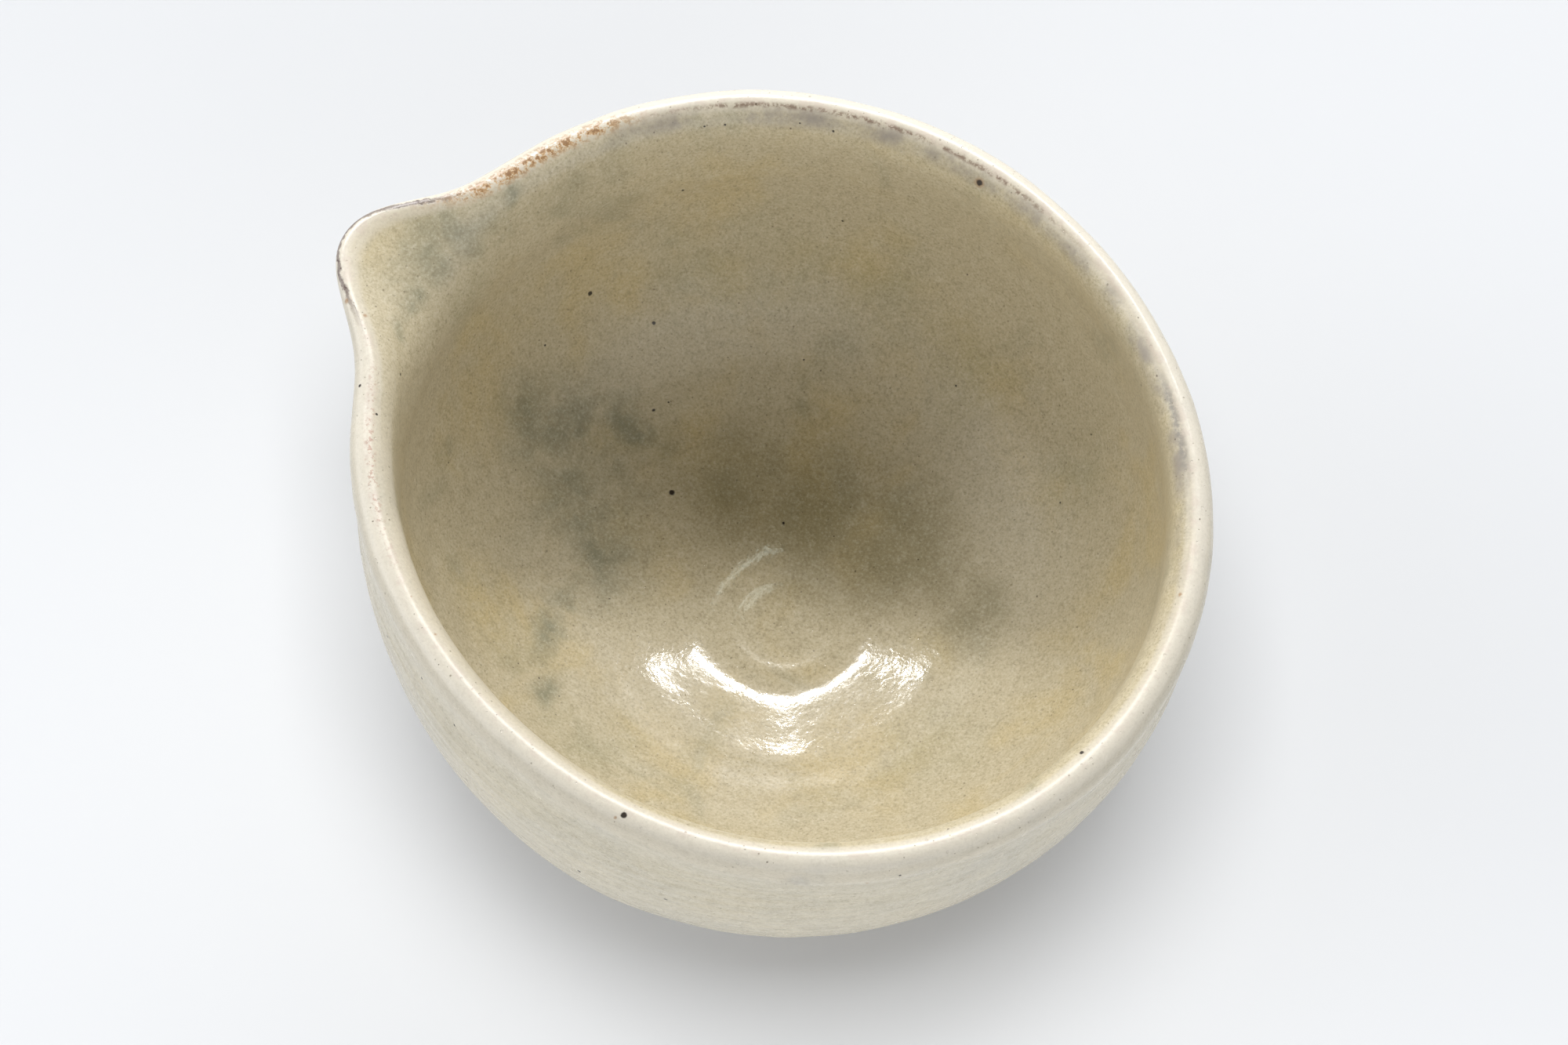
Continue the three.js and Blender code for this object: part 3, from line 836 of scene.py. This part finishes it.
def floor():
    """A wide white table."""
    corners = [(x * TABLE_HALF, y * TABLE_HALF, 0) for x, y in ((-1, -1), (1, -1), (1, 1), (-1, 1))]
    mesh = bpy.data.meshes.new("floor")
    mesh.from_pydata(corners, [], [(0, 1, 2, 3)])
    table = bpy.data.objects.new("floor", mesh)
    bpy.context.scene.collection.objects.link(table)
    f = Finish("floor")
    colour = f.mix(f.clouds(60, 2), TABLE_DARK, TABLE_PALE)
    table.data.materials.append(f.surface(colour, 0.6, f.clouds(3, 2) * 0.01))
    return table


def lights_only(lamp, things):
    """Keeps a lamp's light to some things."""
    takers = bpy.data.collections.new(lamp.name + "_takers")
    for thing in things:
        takers.objects.link(thing)
    lamp.light_linking.receiver_collection = takers


def light(pieces, table):
    """Two long lamps beyond the bowl, in a shallow V, draw the shadow across its inside and the bright
    arc in the well; a thin, faintly green strip high beside them adds a fine line of light. Only the
    bowl takes these. Only the table takes the wide lamp overhead, which leaves a soft shadow close
    round the foot."""
    far = VIEW_AZIMUTH + 180
    keys = [panel(f"key_{side}", far + side * KEY_SPREAD, *KEY, roll=side * KEY_ROLL) for side in (-1, 1)]
    strip = panel("strip", far - STRIP_ASIDE, *STRIP, STRIP_GREEN)
    above = panel("above", VIEW_AZIMUTH, *ABOVE)
    for lamp in (*keys, strip):
        lights_only(lamp, pieces)
    lights_only(above, [table])


# ---- The bowl -----------------------------------------------------------------------------------
def finished(piece, material, slot, *nodes):
    """Gives a piece its material, and tells the frame its body and the nodes it replaces. The slot is not
    used.
    """
    piece.data.materials.append(material)
    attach(piece, "root")
    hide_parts(*nodes)


inside = pole_shell("olive_glaze_inside", *inner_coat())
outside = ring_shell("cream_glaze_outside", *outer_coat())
body = ring_mesh("stoneware_body", clay(), poles=(True, True))
finished(inside, glaze("olive_glaze", True), "olive_glaze", "inner_glaze")
finished(outside, glaze("cream_glaze", False), "cream_glaze", "outer_glaze")
finished(body, fired_clay(), "fired_clay", "clay_body")
camera()
surroundings()
light([inside, outside, body], floor())

bpy.context.scene.view_settings.view_transform = "Standard"
